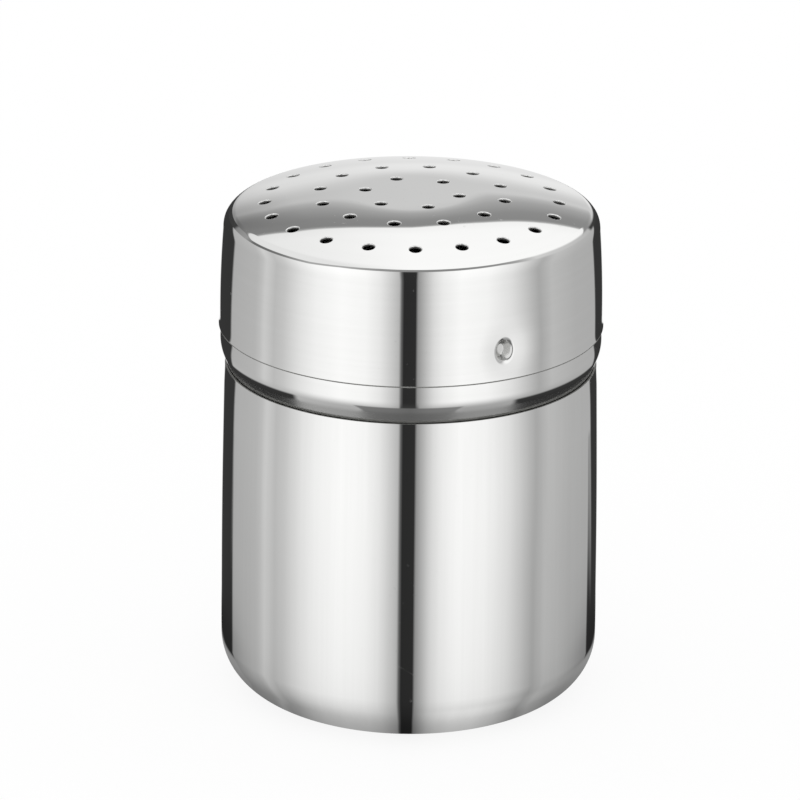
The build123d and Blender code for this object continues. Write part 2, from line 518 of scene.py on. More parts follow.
def noise(tree, grain, detail, turn=(0, 0, 0)):
    """Noise from 0 to 1 with `grain` cells per metre along each axis, after a turn."""
    place = tree.nodes.new("ShaderNodeTexCoord").outputs["Object"]
    for scale, angles in (((1, 1, 1), turn), (grain, (0, 0, 0))):
        mapping = tree.nodes.new("ShaderNodeMapping")
        mapping.inputs["Scale"].default_value = scale
        mapping.inputs["Rotation"].default_value = angles
        tree.links.new(place, mapping.inputs["Vector"])
        place = mapping.outputs["Vector"]
    node = tree.nodes.new("ShaderNodeTexNoise")
    node.inputs["Scale"].default_value = 1.0
    node.inputs["Detail"].default_value = detail
    tree.links.new(place, node.inputs["Vector"])
    return node.outputs["Fac"]


def split(tree, vector):
    """X, Y and Z of a vector."""
    node = tree.nodes.new("ShaderNodeSeparateXYZ")
    tree.links.new(vector, node.inputs[0])
    return node.outputs


def object_place(tree):
    """X, Y and Z of a place in Object coordinates, in metres."""
    return split(tree, tree.nodes.new("ShaderNodeTexCoord").outputs["Object"])


def axis_distance(tree):
    """How far a place is from the upright axis, in millimetres: sqrt(x^2 + y^2)."""
    x, y, _ = object_place(tree)
    squares = maths(tree, "ADD", times(tree, x, x), times(tree, y, y))
    return times(tree, maths(tree, "SQRT", squares), 1 / MM)


def new_material(name):
    """A material with nodes. Returns it and its node tree."""
    material = bpy.data.materials.new(name)
    material.use_nodes = True
    return material, material.node_tree


def show_mix(tree, weight, first, second):
    """Sends the first shader to the output where the weight is 0, the second where it is 1."""
    node = tree.nodes.new("ShaderNodeMixShader")
    for socket, value in zip(node.inputs, (weight, first, second)):
        tree.links.new(value, socket)
    tree.links.new(node.outputs[0], tree.nodes["Material Output"].inputs["Surface"])


print("node helpers ready for", bpy.app.version_string)


# %% Steel
def steel(name, streaks, light, dark, roughness, ripple, metallic=1.0):
    """Steel with streaks of a given grain. Its colour goes from light to dark and its
    roughness from low to high with the streaks and with soft patches of handling, and
    its surface rises and falls by `ripple` metres with streaks, specks and fine scratches."""
    material, tree = new_material(name)
    shader = tree.nodes["Principled BSDF"]
    shader.inputs["Metallic"].default_value = metallic

    streak = noise(tree, streaks, 4.0)
    patch = noise(tree, (90, 90, 90), 2.0)
    speck = rise(tree, noise(tree, (900, 900, 900), 1.0), 0.70, 0.78)
    scratch = maths(
        tree,
        "ADD",
        rise(tree, noise(tree, (2600, 2600, 70), 1.0, (0.0, 1.05, 0.0)), 0.75, 0.80),
        rise(tree, noise(tree, (2600, 2600, 60), 1.0, (0.3, -0.75, 0.2)), 0.76, 0.81),
    )
    mark = maths(tree, "MAXIMUM", speck, scratch)
    worn = maths(tree, "MULTIPLY_ADD", patch, 0.5, times(tree, streak, 0.5))
    tree.links.new(mix(tree, rise(tree, streak, 0.25, 0.75), light, dark), shader.inputs["Base Color"])
    even = rise(tree, worn, 0.35, 0.68, *roughness)
    tree.links.new(maths(tree, "MULTIPLY_ADD", mark, 0.10, even), shader.inputs["Roughness"])

    height = maths(tree, "MULTIPLY_ADD", mark, -0.6, maths(tree, "MULTIPLY_ADD", patch, 2.0, streak))
    bump = tree.nodes.new("ShaderNodeBump")
    bump.inputs["Distance"].default_value = ripple
    tree.links.new(height, bump.inputs["Height"])
    tree.links.new(bump.outputs["Normal"], shader.inputs["Normal"])
    return material


bright, shade = (0.848, 0.848, 0.84, 1), (0.832, 0.832, 0.823, 1)
drawn = steel("drawn_steel", (1100, 1100, 12), bright, shade, (0.01, 0.03), 0.35e-6)
turned = steel("turned_steel", (25, 25, 1100), bright, shade, (0.01, 0.03), 0.3e-6)
satin = steel("satin_steel", (60, 60, 900), (0.74, 0.74, 0.73, 1), (0.62, 0.62, 0.61, 1), (0.22, 0.42), 4e-6)
# Partly painted shade: the cut faces are rough sheared steel, and their dark grey also stands for the shade
# in the gap between the lid's edge and the bead.
cut = steel(
    "cut_steel_and_gap_shade", (500, 500, 2000), (0.33, 0.33, 0.32, 1), (0.26, 0.26, 0.25, 1), (0.5, 0.6), 2e-6, 0.7
)
burnished = steel("burnished_steel", (600, 600, 600), bright, bright, (0.36, 0.44), 0.5e-6)

# The punch leaves the dimples less smooth than the wheel leaves the skirt round them, so they are rougher.
# Their colour is also mixed towards a darker grey, which is painted shade for the inside of the pits. They
# are found by how near the axis they are. Above 84 mm the skirt itself leans in as far, so the height has a
# limit too.
mouth_radius, dull_and_shaded_radius = 34.75, 34.3  # in millimetres
dull_and_shaded_up_to, plain_from = 0.081, 0.083  # in metres
tree = turned.node_tree
sunk = rise(tree, axis_distance(tree), mouth_radius, dull_and_shaded_radius)
punched_and_pit_shade = times(tree, sunk, rise(tree, object_place(tree)["Z"], plain_from, dull_and_shaded_up_to))
rough = tree.nodes["Principled BSDF"].inputs["Roughness"]
tree.links.new(maths(tree, "MULTIPLY_ADD", punched_and_pit_shade, 0.19, rough.links[0].from_socket), rough)
colour = tree.nodes["Principled BSDF"].inputs["Base Color"]
# Painted shade: the dimples' colour is mixed 70 % of the way to a darker grey, to stand for the shade inside
# the pits.
painted_pit_shade = times(tree, punched_and_pit_shade, 0.7)
tree.links.new(mix(tree, painted_pit_shade, colour.links[0].from_socket, (0.55, 0.55, 0.54, 1)), colour)
print("finishes:", [material.name for material in (drawn, turned, satin, cut, burnished)])

# %% [markdown]
# ## The lid and its lugs
#
# The lid has three rings of sprinkle holes and two dimples, which are the lugs of the
# bayonet on the inside. A round-nosed punch pressed them into the skirt. A dimple's mouth
# has to be a bend of more than one sheet's thickness, or the inside of the steel would
# cross itself there. So its section is an arc, a straight flank and a tight arc at the
# floor, and the blow also leaves a shallow dish round it.

# %% Dimples pressed into the skirt
columns = 240
step = 2 * np.pi / columns
lug_turns = np.radians([28.6, 208.6])
lug_up = 75.9
lug_distance = distance_at(lid_path, np.array([lug_up]), 1, corner_end, path_length(lid_path))[0]
dimple_half = np.array([1.7, 2.2])
pit_soft, pit_depth, mouth_bend, floor_bend = 0.45, 1.5, 0.9, 0.35
flank = np.radians(55.0)
dish_depth, dish_width = 0.45, 2.8
flank_length = (pit_depth - (mouth_bend + floor_bend) * (1 - np.cos(flank))) / np.tan(flank)
pit_width = (mouth_bend + floor_bend) * np.sin(flank) + flank_length


def pit(inward):
    """Depth at a distance inward from where the mouth starts to bend: R - sqrt(R^2 - x^2)
    on the mouth's arc, then a straight flank, and the floor's arc seen from its far end."""
    x = np.clip(inward, 0.0, pit_width)
    mouth_end = mouth_bend * np.sin(flank)
    mouth = mouth_bend - np.sqrt(mouth_bend**2 - np.minimum(x, mouth_end) ** 2)
    left = np.minimum(pit_width - x, floor_bend * np.sin(flank))
    floor_arc = floor_bend - np.sqrt(floor_bend**2 - left**2)
    straight = mouth + np.clip(x - mouth_end, 0.0, flank_length) * np.tan(flank)
    return np.where(x <= mouth_end + flank_length, straight, pit_depth - floor_arc)


def dimples(distance, turn):
    """Depth of both dimples. How far a point is beyond the oval mouth is its stretched
    distance from the middle, less one, times the oval's mean half width. The dish is a
    bell curve of the plain distance."""
    depth = unpressed(distance, turn)
    for lug_turn in lug_turns:
        right = body_radius * ((turn - lug_turn + np.pi) % (2 * np.pi) - np.pi)
        down = distance - lug_distance
        beyond = (np.hypot(right / dimple_half[0], down / dimple_half[1]) - 1) * dimple_half.mean()
        bell = np.exp(-(right**2 + down**2) / (2 * dish_width**2))
        depth = depth + pit(pit_soft - beyond) + dish_depth * bell
    return depth


deepest = dimples(np.array([lug_distance]), lug_turns[:1])[0]
print(f"pit is {pit_width:.2f} mm wide, dimple {deepest:.2f} mm deep")

# %% [markdown]
# ## The sprinkle holes
#
# A Boolean modifier would cut the holes, but it leaves long thin faces round each one.
# Instead every hole gets its own cell in the layout, whose border is part of the grid.
# Seen from above, a cell is a piece of a ring round the axis with a circle in it.
# Going in from border to circle, the rows turn from the one into the other, so no face is
# long and thin, and the dome keeps its exact normals right up to the hole.

# %% Cells with a hole
def cell_border(low, high, middle, half, across_count, side_count):
    """The border of one cell, as (distance, turn) points in one round: along the low side,
    out along one flank, back along the high side and in along the other flank."""
    turns = middle + np.linspace(-half, half, across_count + 1)
    sides = np.linspace(low, high, side_count + 1)
    lower, upper = np.full(across_count, low), np.full(across_count, high)
    left, right = np.full(side_count, middle - half), np.full(side_count, middle + half)
    return np.stack([
        np.concatenate([lower, sides[:-1], upper, sides[:0:-1]]),
        np.concatenate([turns[:-1], right, turns[:0:-1], left]),
    ], -1)


def hole_cell(layout, low, high, radius, middle, half, across_count, side_count, rows=6):
    """A cell of the dome whose rows close in on a round hole. Places are worked out in
    plan, as seen from above: row w is (1 - w) x border + w x circle, and the distance
    along the profile then follows from how far each place is from the axis."""
    border = cell_border(low, high, middle, half, across_count, side_count)
    across = along(lid_path, border[:, 0])[0]
    border_plan = np.stack([across * np.sin(border[:, 1]), -across * np.cos(border[:, 1])], -1)
    outward = np.array([np.sin(middle), -np.cos(middle)])
    rightward = np.array([np.cos(middle), np.sin(middle)])
    count = len(border)
    angle = 2 * np.pi * (np.arange(count) - across_count / 2) / count - np.pi / 2
    circle = radius * outward + (hole + hole_roll) * (
        np.cos(angle)[:, None] * rightward + np.sin(angle)[:, None] * outward
    )
    weight = np.linspace(0, 1, rows + 1)[:, None, None]
    plan = (1 - weight) * border_plan + weight * circle
    turn = np.arctan2(plan[..., 0], -plan[..., 1])
    turn = middle + (turn - middle + np.pi) % (2 * np.pi) - np.pi
    distance = distance_at(lid_path, np.hypot(plan[..., 0], plan[..., 1]), 0, 0.0, corner_start)
    distance[0], turn[0] = border[:, 0], border[:, 1]
    add_patch(layout, distance, turn)
    layout["loops"].append((np.stack([distance[-1], turn[-1]], -1)[::-1], hole_lip, BURNISHED))


hole, hole_roll = 1.1, 0.2
hole_lip = (hole_roll, 0.21, 0.06)
half_band = 3.0
rings = [(8.7, 6, -40.4), (17.1, 12, -10.6), (26.8, 20, 1.4)]  # radius, holes, one hole's degrees
print("holes:", sum(ring[1] for ring in rings))

# %% Lid layout
lid_layout = new_layout()


def full_turn(start):
    """The turns of one whole row of grid points, from a first one."""
    return start + step * np.arange(columns)


def nearest_start(turn):
    """The grid's first turn, shifted by under one step so that one column meets a turn."""
    return (turn + step / 2) % step - step / 2


def add_band(layout, from_distance, to_distance, from_start, to_start, rows):
    """A plain band of the grid. Its columns shift evenly from one first turn to the other."""
    weight = np.linspace(0, 1, rows + 1)[:, None]
    start = from_start + (to_start - from_start) * weight
    add_patch(layout, from_distance + (to_distance - from_distance) * weight, start + full_turn(0.0))


distance_now, start_now = 0.0, nearest_start(np.radians(rings[0][2]))
for radius, holes, first in rings:
    ring_edges = np.array([radius - half_band, radius + half_band])
    low, high = distance_at(lid_path, ring_edges, 0, 0.0, corner_start)
    start = nearest_start(np.radians(first))
    add_band(lid_layout, distance_now, low, start_now, start, rows=5)
    half = np.pi / holes
    for number in range(holes):
        middle = np.radians(first) + 2 * half * number
        hole_cell(lid_layout, low, high, radius, middle, half, columns // holes, side_count=8)
    distance_now, start_now = high, start
print("dome is laid out up to", round(float(distance_now), 2), "mm from its middle")

# %% Lid layout from the dome down to its edge
lug_start = nearest_start(lug_turns[0])
cell_half, dimple_margin = 4.2, 1.1
cell_low, cell_high = lug_distance - cell_half, lug_distance + cell_half
add_band(lid_layout, distance_now, corner_start, start_now, lug_start, rows=3)
add_band(lid_layout, corner_start, corner_end, lug_start, lug_start, rows=22)
add_band(lid_layout, corner_end, cell_low, lug_start, lug_start, rows=12)

# The band with the dimples: two cells of 16 columns, and plain grid between them.
cell_columns, cell_rows = 16, 12
rows_outside, rows_inside = 5, 26
half = cell_columns * step / 2
for lug_turn in lug_turns:
    border = cell_border(cell_low, cell_high, lug_turn, half, cell_columns, cell_rows)
    count = len(border)
    angle = 2 * np.pi * (np.arange(count) - cell_columns / 2) / count - np.pi / 2
    oval = np.stack([
        lug_distance + (dimple_half[1] + dimple_margin) * np.sin(angle),
        lug_turn + (dimple_half[0] + dimple_margin) * np.cos(angle) / body_radius,
    ], -1)
    middle = np.array([lug_distance, lug_turn])
    blend = np.linspace(0, 1, rows_outside + 1)[:-1, None, None]
    outer = (1 - blend) * border + blend * oval
    inner = middle + np.linspace(1, 0, rows_inside + 1)[:, None, None] * (oval - middle)
    rows = np.concatenate([outer, inner])
    add_patch(lid_layout, rows[..., 0], rows[..., 1])
    plain = lug_turn + half + step * np.arange(columns // 2 - cell_columns + 1)
    levels = np.linspace(cell_low, cell_high, cell_rows + 1)
    add_patch(lid_layout, levels[:, None], plain[None, :], closed=False)

lid_end = path_length(lid_path) - edge_roll
add_band(lid_layout, cell_high, lid_end, lug_start, lug_start, rows=6)


def edge_ring(distance, turns):
    """A loop of (distance, turn) points all round a pressing, at one distance."""
    return np.stack([np.full(len(turns), distance), turns], -1)


# The lid's whole edge roll takes the dark cut finish: painted shade for the gap between the lid's edge and
# the bead.
lid_layout["loops"].append((edge_ring(lid_end, full_turn(lug_start)[::-1]), (edge_roll,) * 3, CUT_AND_GAP_SHADE))
lid = pressing("lid_shell", lid_path, dimples, lid_layout, [turned, satin, cut, burnished])

# %% [markdown]
# ## The neck ring
#
# The ring is fixed in the container's mouth: its collar is inside, its bead carries the
# lid's edge, and its neck has two L-shaped slots, open at the top, for the lid's lugs. A
# grid can't follow an L with round corners, so this band is laid out flat, outline and
# all, and Blender's own triangulator fills it. The triangles don't show, because the
# normals come from the formula.

# %% Outline of the neck with its slots
slot_half, slot_low, slot_high = 2.208, 73.242, 78.558
locking_turn = np.radians(25.0)
mouth_flare, slot_bend = 0.8, 1.0
band_foot = 72.0
neck_roll = 0.2
neck_lip = (neck_roll,) * 3
neck_end, edge_count, side_rows, spacing = 14.0, 1100, 12, 0.3
seam = lug_turns[0] - np.pi / 2

outline = new_path((seam * neck_radius, neck_top), 0.0)
corners, bends = [], []
for lug_turn in lug_turns:
    middle, locked = lug_turn * neck_radius, (lug_turn - locking_turn) * neck_radius
    corners += [
        (middle - slot_half - mouth_flare, neck_top),
        (middle - slot_half, neck_top - mouth_flare),
        (middle - slot_half, slot_high),
        (locked - slot_half, slot_high),
        (locked - slot_half, slot_low),
        (middle + slot_half, slot_low),
        (middle + slot_half, neck_top - mouth_flare),
        (middle + slot_half + mouth_flare, neck_top),
    ]
    bends += [0.6, 0.6, 0.5, slot_bend, slot_bend, slot_bend, 0.6, 0.6]
corners.append(((seam + 2 * np.pi) * neck_radius, neck_top))
add_bends(outline, corners, bends)
print("edge of the neck is", round(path_length(outline), 1), "mm long")

# %% The neck's band, filled between its outline and a base line
def neck_at(up):
    """Distance along the ring's profile at which its neck is at some heights."""
    return distance_at(ring_path, up, 1, 0.0, neck_end)


samples = np.linspace(0, path_length(outline), edge_count)
out_across, out_up, out_heading = along(outline, samples)
edge_loop = np.stack([
    out_across + neck_roll * np.sin(out_heading),
    out_up - neck_roll * np.cos(out_heading),
], -1)
seam_turns = seam + full_turn(0.0)
base_turns = np.append(seam_turns, seam + 2 * np.pi)
base_line = np.stack([base_turns * neck_radius, np.full(columns + 1, band_foot)], -1)
seam_up = np.linspace(band_foot, edge_loop[0, 1], side_rows + 2)[1:-1]
right_side = np.stack([np.full(side_rows, base_line[-1, 0]), seam_up], -1)
left_side = np.stack([np.full(side_rows, base_line[0, 0]), seam_up[::-1]], -1)
border = np.concatenate([base_line, right_side, edge_loop[::-1], left_side])
filling = np.stack(np.meshgrid(base_line[1:-1, 0], seam_up), -1).reshape(-1, 2)
away = np.array([np.hypot(*(edge_loop - place).T).min() for place in filling])
flat_points = np.concatenate([border, filling[away > spacing]])
flat = delaunay_2d_cdt(
    [Vector(place) for place in flat_points.tolist()], [], [list(range(len(border)))], 1, 1e-6
)
flat_places, flat_faces = np.array([tuple(v) for v in flat[0]]), np.array(flat[2])
corner_a, corner_b, corner_c = flat_places[flat_faces].transpose(1, 0, 2)
area = np.cross(corner_b - corner_a, corner_c - corner_a)
flat_faces = np.where(area[:, None] > 0, flat_faces, flat_faces[:, ::-1])
print("neck band:", len(flat_places), "points,", len(flat_faces), "faces")

# %% Rows of a round pressing
def profile_rows(path, first, last, bend_step=2.5, longest=6.0):
    """Distances for the rows of a plain grid: every stop between two runs, and between
    stops a row for each 2.5 degrees of bend, and at least one for each 6 mm."""
    stops = np.append(0.0, np.cumsum([run[4] for run in path["runs"]]))
    rows = [np.array([first])]
    for low, high, run in zip(stops[:-1], stops[1:], path["runs"]):
        low, high = max(low, first), min(high, last)
        if high - low > 1e-6:
            turned_by = np.degrees(abs(run[3])) * (high - low)
            count = int(np.ceil(max(turned_by / bend_step, (high - low) / longest, 1)))
            rows.append(np.linspace(low, high, count + 1)[1:])
    return np.concatenate(rows)


ring_layout = new_layout()
ring_layout["points"].append(np.stack([neck_at(flat_places[:, 1]), flat_places[:, 0] / neck_radius], -1))
ring_layout["faces"].append(flat_faces)
ring_layout["count"] = len(flat_places)
neck_edge = np.stack([neck_at(edge_loop[:-1, 1]), edge_loop[:-1, 0] / neck_radius], -1)
ring_layout["loops"].append((neck_edge, neck_lip, OUTSIDE))

collar_end = path_length(ring_path) - neck_roll
ring_rows = profile_rows(ring_path, neck_at(np.array([band_foot]))[0], collar_end)
add_patch(ring_layout, ring_rows[:, None], seam_turns[None, :])
ring_layout["loops"].append((edge_ring(collar_end, seam_turns[::-1]), neck_lip, CUT_AND_GAP_SHADE))
ring = pressing("neck_ring_shell", ring_path, unpressed, ring_layout, [turned, satin, cut])
print("ring rows:", len(ring_rows))

# %% [markdown]
# ## The container
#
# The container is a plain revolved sheet, drawn in one deep cup. Spin could turn its
# profile too, but the grid from the flat layout gives it the same exact normals as the
# rest. Only its free edge is special: it stays crisp outside, right below the bead, and
# is rounded a little towards the ring, so that a narrow crevice runs between the two.

# %% Container layout
rim_roll = 0.3
rim_lip = (rim_roll, 0.05, 0.12)
container_layout = new_layout()
container_rows = profile_rows(container_path, rim_roll, path_length(container_path))
add_patch(container_layout, container_rows[:, None], seam_turns[None, :])
container_layout["loops"].append((edge_ring(rim_roll, seam_turns), rim_lip, OUTSIDE))
container = pressing("container_shell", container_path, unpressed, container_layout, [drawn, satin, cut])
print("container rows:", len(container_rows))

# %% [markdown]
# ## What moves with what
#
# The container and its ring stay together, and the lid lifts off. Each shell stands for
# one CAD node, which is hidden here and goes on doing its work as a collision shape.

# %% Pieces ride on their bodies
for piece, node, body in (
    (lid, "lid", "lid_body"),
    (ring, "neck_ring", "container_body"),
    (container, "container", "container_body"),
):
    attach(piece, body)
    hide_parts(node)
    print(piece.name, "replaces", node, "and rides on", body)

# %% [markdown]
# ## The studio
#
# Polished metal is photographed in a tent of white and grey cards. A tent could be built
# from card meshes round the object, but each would have to be aimed by trial. Here the
# world itself is the tent. What a mirror facing some way shows to a viewer at the front
# lies in the direction that halves into that way: way = unit(direction + to viewer). So
# the world turns each direction into the way of the mirror that would show it, as an angle
# round the object and a tilt from straight up, and colour ramps say how light each is.
#
# Only reflections see the tent. All other light is plain white at strength 1, so that
# colours look as they are written, and the floor renders white.

# %% Ramps
STEEL_LIGHT = 0.84
DEGREES = 180 / np.pi


def light_of(tone):
    """Light for a tone that steel shows, from 0 to 255: the screen's curve undone, which
    is ((tone / 255 + 0.055) / 1.055) ^ 2.4, over the part of the light that steel returns."""
    return ((tone / 255 + 0.055) / 1.055) ** 2.4 / STEEL_LIGHT


def grey(tone):
    """A tone as a grey colour."""
    return (light_of(tone),) * 3 + (1,)


def ramp(tree, value, stops):
    """A Color Ramp over (value, level) stops, with levels from 0 to 1 as greys."""
    low, high = stops[0][0], stops[-1][0]
    span = tree.nodes.new("ShaderNodeMapRange")
    span.inputs["From Min"].default_value, span.inputs["From Max"].default_value = low, high
    tree.links.new(value, span.inputs["Value"])
    node = tree.nodes.new("ShaderNodeValToRGB")
    elements = node.color_ramp.elements
    while len(elements) < len(stops):
        elements.new(0.5)
    for element, (at, level) in zip(elements, stops):
        element.position = (at - low) / (high - low)
        element.color = (level, level, level, 1)
    tree.links.new(span.outputs[0], node.inputs["Fac"])
    return node.outputs["Color"]


def tone_ramp(tree, value, stops):
    """A ramp over (value, tone) stops, as light."""
    return ramp(tree, value, [(at, light_of(tone)) for at, tone in stops])


def number_ramp(tree, value, stops):
    """A ramp over (value, number) stops: squeezed into 0 to 1, and stretched back."""
    numbers = [number for _, number in stops]
    low, high = min(numbers), max(numbers)
    level = ramp(tree, value, [(at, (number - low) / (high - low)) for at, number in stops])
    return maths(tree, "MULTIPLY_ADD", level, high - low, low)


def scaled(tree, colour, weight):
    """A colour made lighter or darker."""
    node = tree.nodes.new("ShaderNodeVectorMath")
    node.operation = "SCALE"
    tree.links.new(colour, node.inputs[0])
    put(tree, weight, node.inputs["Scale"])
    return node.outputs[0]


print("tone 128 is light", round(light_of(128), 3))

# %% Which way the mirror faces
world = bpy.data.worlds.new("studio")
scene.world = world
world.use_nodes = True
tree = world.node_tree
viewer_rise = np.radians(19.0)
viewer = Vector((0.0, -np.cos(viewer_rise), np.sin(viewer_rise)))
direction = tree.nodes.new("ShaderNodeTexCoord").outputs["Generated"]


def vector_maths(operation, *values):
    """A Vector Math node in the world. Returns the node."""
    node = tree.nodes.new("ShaderNodeVectorMath")
    node.operation = operation
    for socket, value in zip(node.inputs, values):
        put(tree, value, socket)
    return node


way = split(tree, vector_maths("NORMALIZE", vector_maths("ADD", direction, viewer).outputs[0]).outputs[0])
side = times(tree, maths(tree, "ARCTAN2", way["X"], times(tree, way["Y"], -1.0)), 2 * DEGREES)
tilt = times(tree, maths(tree, "ARCCOSINE", way["Z"]), DEGREES)
height = times(tree, maths(tree, "ARCSINE", split(tree, direction)["Z"]), DEGREES)
behind = vector_maths("DOT_PRODUCT", direction, tuple(-viewer)).outputs["Value"]
print("the viewer is towards", [round(part, 3) for part in viewer])

# %% [markdown]
# ## Light for walls, bead, corner and dome
#
# An upright wall sees a white tent with a black gap at the front, where the lens looks in,
# and black cards at both sides. The bead's lower flank faces down and sees a dimmer
# tent. The lid's corner sees the tent's upper edge as a grey line, and the dome sees the
# ceiling: white above 31 degrees, and a grey backdrop below it.

# %% Tent round the walls
wall_tones = [
    (-180, 50), (-138.5, 50), (-137, 169), (-107.5, 178), (-102.5, 188), (-99, 200), (-96, 197),
    (-90, 185), (-82.5, 194), (-69.5, 224), (-58.5, 240), (-42, 250), (-27, 245), (-18.5, 230),
    (-8, 186), (-6, 174), (-5.5, 42), (3.3, 44), (3.8, 140), (8.1, 179), (13.5, 216), (19, 234),
    (30, 248), (46.8, 243), (62.5, 222), (78.1, 181), (83.5, 166), (94, 184), (117, 172), (145, 167),
    (146.5, 50), (180, 50),
]
bead_tones = [
    (-180, 50), (-139, 50), (-136, 178), (-60, 176), (-37, 170), (-12, 176), (-6.5, 160), (-6, 60), (4, 60),
    (4.8, 150), (14, 170), (33, 158), (50, 161), (143, 164), (146, 50), (180, 50),
]
cone_tones = [(-40, 124), (-28, 117), (-11, 110), (0, 102), (11, 115), (28, 124), (40, 126)]
near_corner = rise(tree, tilt, 38, 80, 0.90, 1.0)
wall_side = times(tree, side, near_corner)
wall = scaled(tree, tone_ramp(tree, wall_side, wall_tones), rise(tree, tilt, 46, 85, 1.07, 1.0))
tent = mix(tree, rise(tree, tilt, 93, 108), wall, tone_ramp(tree, side, bead_tones))
cone_side = times(tree, side, rise(tree, tilt, 101, 112, 1.0, 1.2))
cone = ramp(tree, cone_side, [(-180, 0), (-36.5, 0), (-34, 1), (32, 1), (34, 0), (180, 0)])
cone = times(tree, cone, rise(tree, tilt, 102.5, 105))
tent = mix(tree, cone, tent, tone_ramp(tree, side, cone_tones))
flank_cards = ramp(tree, side, [(-180, 1), (-76, 1), (-72, 0), (64, 0), (68, 1), (180, 1)])
flank_cards = times(tree, flank_cards, rise(tree, tilt, 103, 107))
tent = mix(tree, flank_cards, tent, grey(50))
tent = mix(tree, rise(tree, tilt, 118, 136), tent, grey(85))
print("wall tones:", len(wall_tones), "bead tones:", len(bead_tones))

# %% Line round the corner, and ceiling over the dome
line_tones = [
    (-180, 55), (-150, 60), (-146, 130), (-128, 150), (-118, 102), (-108, 102), (-90, 115), (-67, 165),
    (-46, 169), (-20, 145), (0, 132), (30, 132), (57, 141), (70, 160), (86, 205), (110, 196), (150, 180),
    (154, 60), (180, 55),
]
line_start = number_ramp(tree, side, [
    (-180, 30), (-135, 31), (-122, 40), (-111, 41), (-67, 43), (-46, 38), (-20, 34), (57, 34),
    (80, 31), (180, 31),
])
line_end = number_ramp(tree, side, [
    (-180, 45), (-135, 46), (-111, 48.5), (-67, 49.5), (-46, 44), (-20, 42.5), (30, 42), (57, 41),
    (86, 43), (180, 43),
])
line_blur = number_ramp(tree, side, [(-180, 1.5), (-135, 1.5), (60, 1.5), (86, 8), (180, 8)])
ceiling_tones = [
    (-90, 220), (1, 218), (5.5, 226), (6.8, 226), (10, 224), (12.7, 214), (15, 203), (17, 197),
    (19.2, 199), (20.5, 178), (22.5, 160), (25, 147), (27, 137), (30, 134), (30.8, 136), (31.6, 240),
    (35, 246), (52, 250), (90, 250),
]
rightward = split(tree, direction)["X"]
ceiling_bow = number_ramp(tree, rightward, [
    (-0.25, 1.2), (-0.17, -0.9), (-0.09, -0.7), (0, 0), (0.05, 2.0), (0.08, 2.5), (0.13, 3.8), (0.2, 5.7),
    (0.25, 7.2),
])
bowed = maths(tree, "ADD", height, ceiling_bow)
ceiling = tone_ramp(tree, bowed, ceiling_tones)
shade_left = number_ramp(tree, rightward, [(-0.3, 0.42), (-0.22, 0.55), (-0.12, 0.88), (0, 1)])
white_left = number_ramp(tree, rightward, [(-0.3, 0.8), (0, 1)])
whiteness = rise(tree, bowed, 23, 30)
lit = times(tree, maths(tree, "SUBTRACT", white_left, shade_left), whiteness)
ceiling = scaled(tree, ceiling, maths(tree, "ADD", lit, shade_left))
past_end = rise(tree, tilt, line_end, maths(tree, "ADD", line_end, line_blur))
line = mix(tree, past_end, tone_ramp(tree, side, line_tones), tent)
past_start = rise(tree, tilt, line_start, maths(tree, "ADD", line_start, line_blur))
tent = mix(tree, past_start, ceiling, line)
print("line tones:", len(line_tones), "ceiling tones:", len(ceiling_tones))

# %% Backdrop behind the object, and who sees the tent
far, near = np.cos(np.radians([12.0, 8.0])).tolist()
backdrop = times(tree, rise(tree, behind, far, near), rise(tree, tilt, 62, 76))
tent = mix(tree, backdrop, tent, grey(225))
rays = tree.nodes.new("ShaderNodeLightPath")
tree.links.new(
    mix(tree, rays.outputs["Is Glossy Ray"], (1, 1, 1, 1), tent), tree.nodes["Background"].inputs["Color"]
)
print("world has", len(tree.nodes), "nodes")

# %% [markdown]
# ## The floor
#
# The floor is white. A lamp strong enough to make it so would burn out the steel, so for
# the camera most of it glows at strength 1, which is exactly white. The rest is plain
# diffuse, and that part carries the object's soft shadow.

# %% Floor
floor_mesh = bpy.data.meshes.new("floor")
floor_mesh.from_pydata([(-3, -3, 0), (3, -3, 0), (3, 3, 0), (-3, 3, 0)], [], [(0, 1, 2, 3)])
floor = show("floor", floor_mesh)
floor.visible_glossy = False
glow_share = 0.88
floor_material, floor_tree = new_material("floor")
floor_shader = floor_tree.nodes["Principled BSDF"]
floor_shader.inputs["Base Color"].default_value = (1, 1, 1, 1)
floor_shader.inputs["Roughness"].default_value = 1.0
floor_shader.inputs["Specular IOR Level"].default_value = 0.0
glow = floor_tree.nodes.new("ShaderNodeEmission")
seen = floor_tree.nodes.new("ShaderNodeLightPath").outputs["Is Camera Ray"]
show_mix(floor_tree, times(floor_tree, seen, glow_share), floor_shader.outputs[0], glow.outputs[0])
floor_mesh.materials.append(floor_material)
print("floor is", [round(length, 1) for length in floor.dimensions[:2]], "m")

# %% [markdown]
# ## What the foot of the wall sees
#
# Near its foot the container sees the floor just in front of itself, where its own bulk
# keeps the light out. A ring-shaped card on the floor, which only reflections see, shows
# the tent again, dimmer and dimmer towards the container. Which part of the tent a place on
# it stands for follows from a triangle: the axis, the place at radius r and angle p, and the
# point of the wall, of radius R, that mirrors it to the viewer. A wall that faces the angle
# a shows the tent's side 2a, and the law of sines says sin(2a - p) = R / r x sin(a). Four
# rounds of 2a = p + arcsin(R / r x sin(a)) solve that. Close in, the black cards at the
# sides don't reach the card (close_tones), and the right front, where the light comes from,
# stays lighter (to_right). Both flanks are dimmed further, most of all 44 to 52 mm from the
# axis (to_side). Only the container's wall should see the card, so it is clear for whatever
# is higher up, and it fades to clear towards its outer rim and behind the container.

